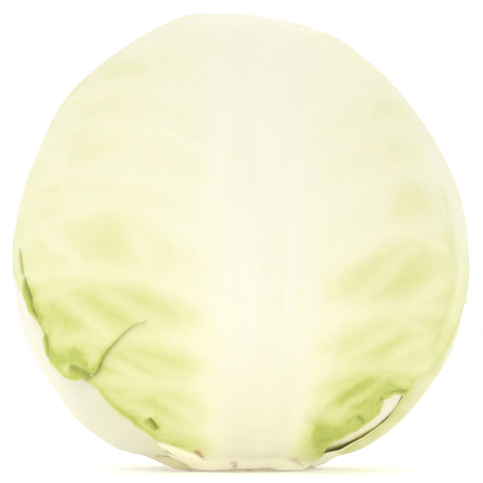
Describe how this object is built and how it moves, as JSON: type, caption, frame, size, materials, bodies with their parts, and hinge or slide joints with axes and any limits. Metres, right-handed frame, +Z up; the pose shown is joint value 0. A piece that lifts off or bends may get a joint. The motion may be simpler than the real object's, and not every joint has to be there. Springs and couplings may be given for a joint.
{
  "type": "cabbage head",
  "caption": "Round trimmed white cabbage head with overlapping wrapper leaves, standing on its flat cut stem.",
  "frame": {"origin": "middle of the flat cut face under the stem, on the surface that the head stands on", "axes": "+Z up through the head, -Y towards the rib of the front leaf, +X to the right as the front leaf is looked at"},
  "size_m": [0.1616, 0.1606, 0.1619],
  "materials": {
    "front_leaf": "waxy pale green leaf with a white rib and veins",
    "right_leaf": "waxy pale green leaf",
    "left_leaf": "smooth creamy white leaf",
    "inner_leaf": "smooth creamy white leaf",
    "back_leaf": "waxy pale green leaf",
    "packed_inner_leaves": "smooth creamy white leaves, tightly packed",
    "cut_stem": "cream cut stem with dry brown marks",
    "cut_leaf_base": "cream cut leaf bases with dry brown edges"
  },
  "bodies": {
    "root": {"front_leaf": "front_leaf", "right_leaf": "right_leaf", "left_leaf": "left_leaf", "inner_leaf": "inner_leaf", "back_leaf": "back_leaf", "packed_inner_leaves": "packed_inner_leaves", "stem": "cut_stem", "cut_leaf_base_left": "cut_leaf_base", "cut_leaf_base_right": "cut_leaf_base", "cut_leaf_base_back": "cut_leaf_base"}
  },
  "joints": []
}
